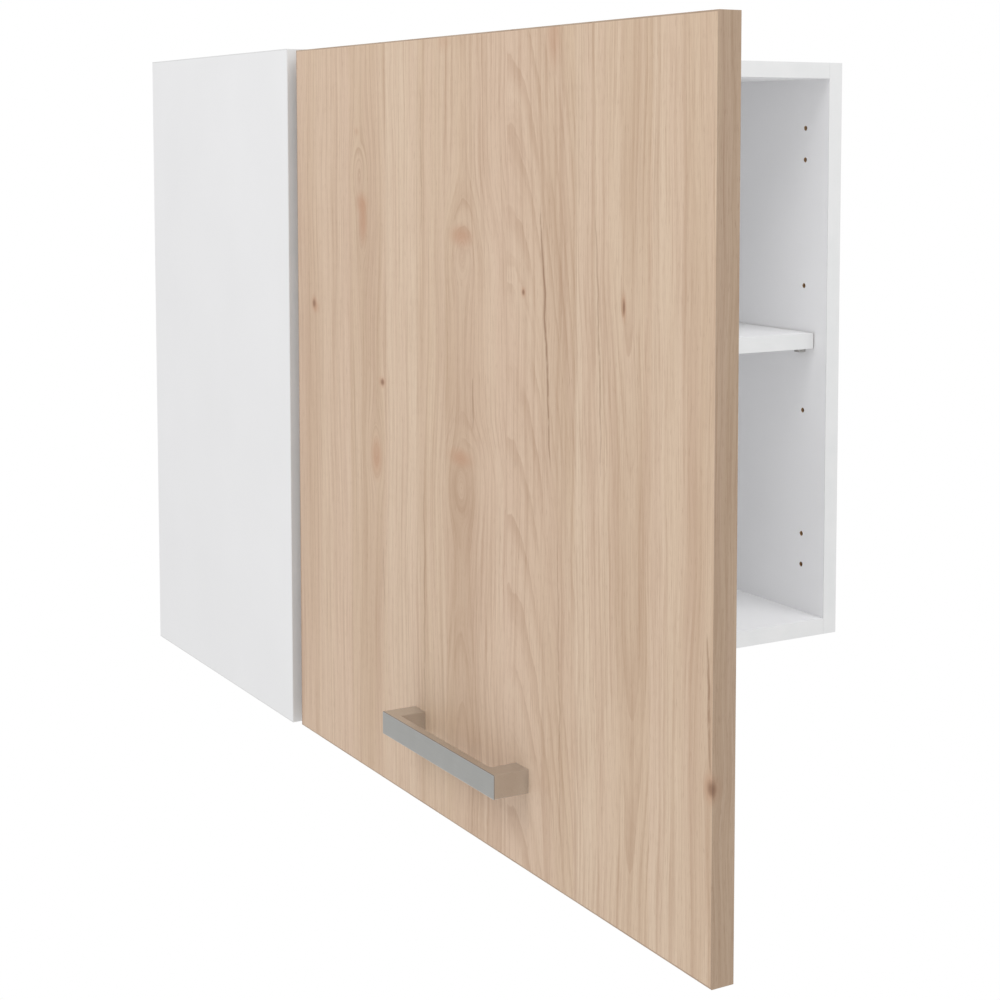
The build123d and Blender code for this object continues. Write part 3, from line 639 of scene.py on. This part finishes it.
def beech():
    """Ribbed beech dowel, grain along its length."""
    surface = Surface("beech", colour(214, 176, 132), 0.6)
    grain = surface.noise(surface.x / 0.01, surface.y / 0.0006, surface.z / 0.0006, detail=4)
    flecks = surface.noise(surface.x / 0.002, surface.y / 0.0003, surface.z / 0.0003).smooth(0.62, 0.75)
    tint = surface.ramp(grain, (0.3, colour(196, 152, 106)), (0.7, colour(224, 188, 146)))
    surface.set_colour(surface.mix(flecks * 0.4, tint, colour(150, 104, 66)))
    surface.set_roughness(grain * 0.2 + 0.5)
    surface.set_bump(grain, 0.00005)
    return surface


# ---------------------------------------------------------------- which node gets which

THICKNESS_AXIS = {
    "left_side_panel": 0,
    "right_side_panel": 0,
    "top_panel": 2,
    "bottom_panel": 2,
    "shelf_panel": 2,
}


def dress_cabinet():
    """Boards by their thickness, the door by its decor, and the rest by the record's material slots."""
    for node, axis in THICKNESS_AXIS.items():
        dress(node, white_board(node, axis))
    door_face = decor("door_decor", door_across, door_down)
    edge_upright = decor("door_edge_upright", door_across, door_down, edge=True)
    edge_level = decor("door_edge_level", strip_across, strip_down, edge=True)
    dress("door_panel", door_face)
    for node in ("door_hinge_edge_band", "door_free_edge_band"):
        dress(node, edge_upright)
    for node in ("door_top_edge_band", "door_bottom_edge_band"):
        dress(node, edge_level)
    by_slot = {
        "white_edge": white_edge(),
        "white_hardboard": hardboard(),
        "beech_dowel": beech(),
        "zinc_casting": zinc(),
        "white_plastic": plastic("white_plastic", colour(234, 235, 234), 0.4),
        "grey_plastic": plastic("grey_plastic", colour(150, 152, 154), 0.42),
        "clear_pad": clear_pad(),
        "brushed_handle": handle_metal(),
        "nickel_steel": plated_steel(),
    }
    for part in frame["record"]["subparts"]:
        if part["material_slot"] in by_slot:
            dress(part["node"], by_slot[part["material_slot"]])


# ---------------------------------------------------------------- floor, lights and camera


FLOOR_HEIGHT = -1.5
FLOOR_RADIUS = 2.2
FLOOR_GLOW = 0.3
WORLD_STRENGTH = 0.72
CAMERA_PLACE = (-0.94644, -1.82791, 0.50279)
CAMERA_DOWN = 4.241
CAMERA_RIGHT = 30.381


def add_floor():
    """A round pale floor below, bright enough to go with the white background."""
    mesh = bpy.data.meshes.new("floor")
    shape = bmesh.new()
    bmesh.ops.create_circle(shape, cap_ends=True, radius=FLOOR_RADIUS, segments=96)
    bmesh.ops.translate(shape, verts=shape.verts, vec=(0, -0.2, FLOOR_HEIGHT))
    shape.to_mesh(mesh)
    shape.free()
    floor = bpy.data.objects.new("floor", mesh)
    bpy.context.scene.collection.objects.link(floor)
    surface = Surface("floor_paint", (0.9, 0.9, 0.9, 1), 0.8, specular=0)
    surface.shader.inputs["Emission Color"].default_value = (1, 1, 1, 1)
    surface.shader.inputs["Emission Strength"].default_value = FLOOR_GLOW
    mesh.materials.append(surface.material)


def add_world(strength):
    """White surroundings that light the object softly and look plain white to the camera."""
    world = bpy.data.worlds.new("studio")
    world.use_nodes = True
    tree = world.node_tree
    tree.nodes["Background"].inputs["Color"].default_value = (1, 1, 1, 1)
    seen = tree.nodes.new("ShaderNodeLightPath").outputs["Is Camera Ray"]
    level = tree.nodes.new("ShaderNodeMapRange")
    tree.links.new(seen, level.inputs["Value"])
    level.inputs["To Min"].default_value = strength
    level.inputs["To Max"].default_value = 1
    tree.links.new(level.outputs[0], tree.nodes["Background"].inputs["Strength"])
    bpy.context.scene.world = world


def add_soft_light(name, place, aim, size, power):
    """A square lamp, out of the camera's sight, that faces its aim."""
    light = bpy.data.lights.new(name, "AREA")
    light.shape = "SQUARE"
    light.size = size
    light.energy = power
    lamp = bpy.data.objects.new(name, light)
    bpy.context.scene.collection.objects.link(lamp)
    lamp.location = place
    lamp.rotation_euler = (Vector(aim) - Vector(place)).to_track_quat("-Z", "Y").to_euler()
    lamp.visible_camera = False


def add_camera():
    """In front and to the left, almost level, with a shift that keeps the upright edges nearly parallel."""
    data = bpy.data.cameras.new("camera")
    data.sensor_width = 36
    data.lens = 68.76
    data.shift_x = -0.02243
    data.shift_y = -0.22
    camera = bpy.data.objects.new("camera", data)
    bpy.context.scene.collection.objects.link(camera)
    camera.location = CAMERA_PLACE
    camera.rotation_euler = (math.radians(90 - CAMERA_DOWN), 0, math.radians(-CAMERA_RIGHT))
    bpy.context.scene.camera = camera


dress_cabinet()
add_floor()
add_world(WORLD_STRENGTH)
add_soft_light("key", (-1.8, -0.7, 1.7), (-0.3, -0.3, 0.4), 1.0, 9.5)
add_soft_light("fill", (0.45, -1.8, 2.65), (0.2, -0.2, 0.1), 1.6, 30)
add_camera()
bpy.context.scene.view_settings.view_transform = "Standard"
